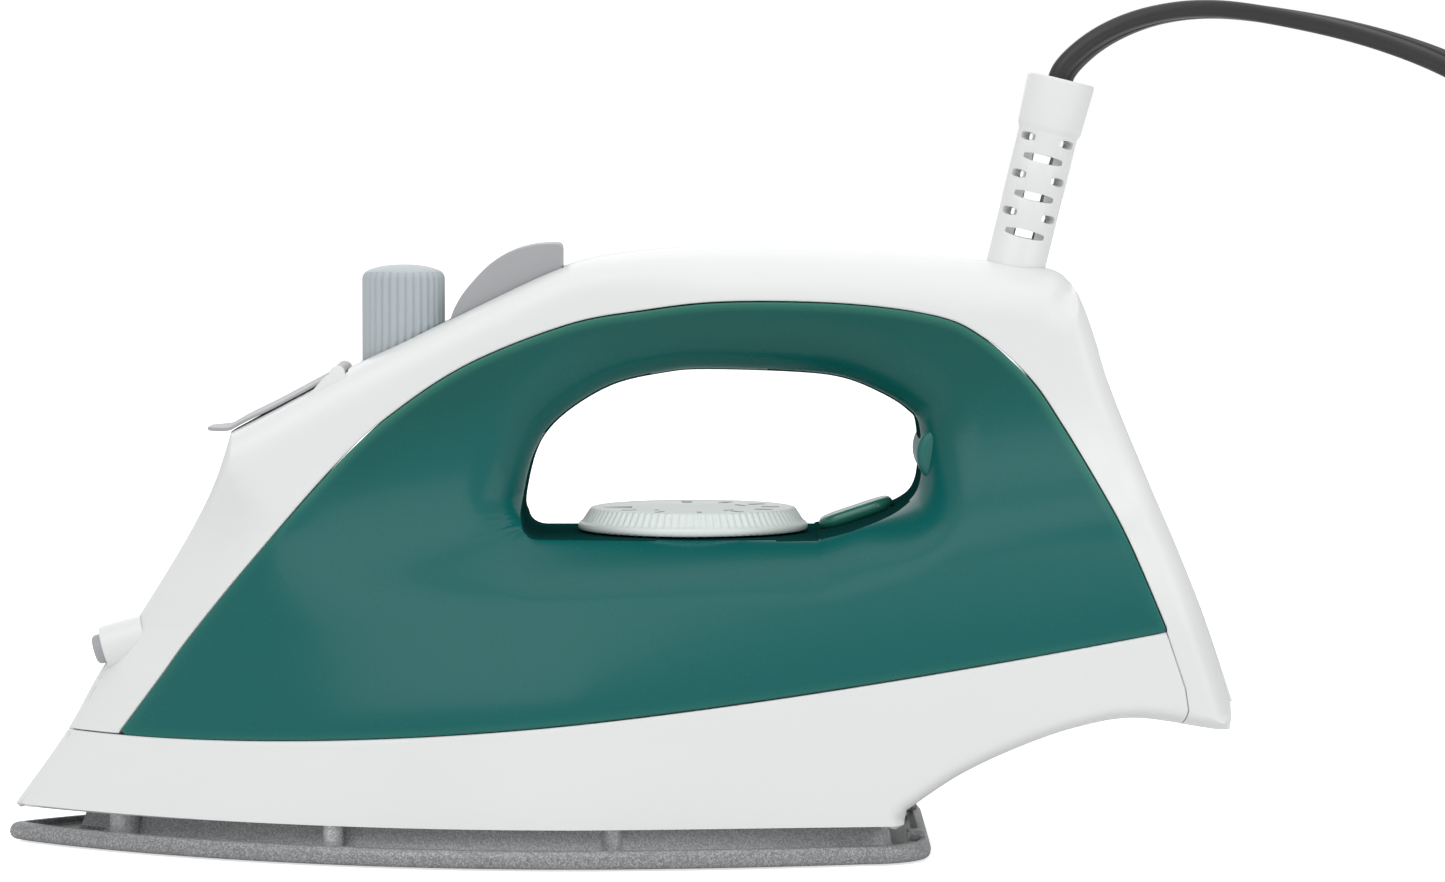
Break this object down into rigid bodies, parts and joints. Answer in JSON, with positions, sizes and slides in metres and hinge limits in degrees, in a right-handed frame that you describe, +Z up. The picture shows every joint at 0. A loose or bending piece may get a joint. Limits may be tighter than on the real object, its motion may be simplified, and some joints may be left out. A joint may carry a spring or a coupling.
{
  "type": "steam iron",
  "caption": "Household steam iron with a pointed soleplate, translucent water tank in the handle body, dial, steam knob, spray button, fill lid, cord guard and coiled lead.",
  "frame": {"origin": "on the supporting surface, under the middle of the iron's box without its cord", "axes": "+X from the soleplate's tip to the heel, +Y to the iron's left seen from the heel, +Z up"},
  "size_m": [0.424, 0.1317, 0.1848],
  "materials": {
    "sole_metal": "sprayed, speckled grey non-stick finish with a satin rim",
    "white_shell": "moulded white polypropylene, soft gloss",
    "green_tank": "translucent dark teal, smooth moulded gloss",
    "mint_dial": "pale mint moulded plastic",
    "grey_blue": "grey-blue moulded plastic",
    "grey_button": "light grey moulded plastic, satin",
    "lens": "tinted translucent lens",
    "natural_plastic": "natural moulded plastic",
    "seal": "black rubber",
    "lead": "dark grey flexible PVC, satin",
    "steel": "zinc plated steel",
    "brass": "plain brass"
  },
  "bodies": {
    "body": {"soleplate": "sole_metal", "heating_element": "steel", "element_tab_left": "brass", "element_tab_right": "brass", "steam_chamber_cover": "steel", "chamber_cover_screw_front": "steel", "chamber_cover_screw_rear": "steel", "body_screw_front": "steel", "body_screw_rear": "steel", "thermostat_frame": "steel", "thermostat_blade": "brass", "thermal_fuse": "steel", "skirt": "white_shell", "tank_base": "natural_plastic", "water_tank": "green_tank", "heel_plate": "white_shell", "heel_plate_screw": "steel", "upper_shell": "white_shell", "handle_screw": "steel", "handle_screw_cap": "green_tank", "pilot_light_lens": "lens", "pilot_lamp": "lens", "lamp_socket": "natural_plastic", "pump_barrel": "natural_plastic", "pump_inlet_tube": "natural_plastic", "pump_spring": "steel", "spray_tube": "natural_plastic", "spray_nozzle": "grey_button", "valve_guide": "natural_plastic", "drip_valve_seat": "brass", "fill_port_seal": "seal", "lid_hinge_pin": "steel", "dial_sleeve": "natural_plastic", "cord_guard": "white_shell", "cord_clamp": "natural_plastic", "cord_clamp_screw": "steel", "terminal_block": "natural_plastic", "live_wire": "lead", "element_lead_left": "lead", "neutral_wire": "lead", "element_lead_right": "lead", "mains_lead": "lead", "lead_coil": "lead", "plug_lead": "lead", "plug_body": "lead", "plug_blade_left": "brass", "plug_blade_right": "brass", "coil_tie": "seal"},
    "dial": {"temperature_dial": "mint_dial", "dial_shaft": "steel"},
    "knob": {"steam_knob": "grey_blue"},
    "valve_rod": {"steam_valve_rod": "steel"},
    "spray_button": {"spray_button": "grey_button", "pump_piston": "natural_plastic"},
    "fill_cover": {"fill_cover": "grey_button"}
  },
  "joints": [
    {"name": "dial_turn", "type": "hinge", "parent": "body", "child": "dial", "pos_m": [0.017, 0, 0.07], "axis": [0, 0, 1], "range_deg": [0, 270]},
    {"name": "knob_turn", "type": "hinge", "parent": "body", "child": "knob", "pos_m": [-0.0466, 0, 0.11], "axis": [0, 0, 1], "range_deg": [0, 180]},
    {"name": "valve_lift", "type": "slide", "parent": "body", "child": "valve_rod", "axis": [0, 0, 1], "range_m": [0, 0.003]},
    {"name": "spray_press", "type": "slide", "parent": "body", "child": "spray_button", "axis": [0, 0, -1], "range_m": [0, 0.004], "stiffness_N_per_m": 400, "springref_m": -0.002, "deforming": ["pump_spring"]},
    {"name": "lid_open", "type": "hinge", "parent": "body", "child": "fill_cover", "pos_m": [-0.0604, 0, 0.10361], "axis": [0, 1, 0], "range_deg": [0, 80]}
  ],
  "couplings": [
    {"joint": "valve_lift", "follows": "knob_turn", "m_per_rad": 0.00095}
  ]
}
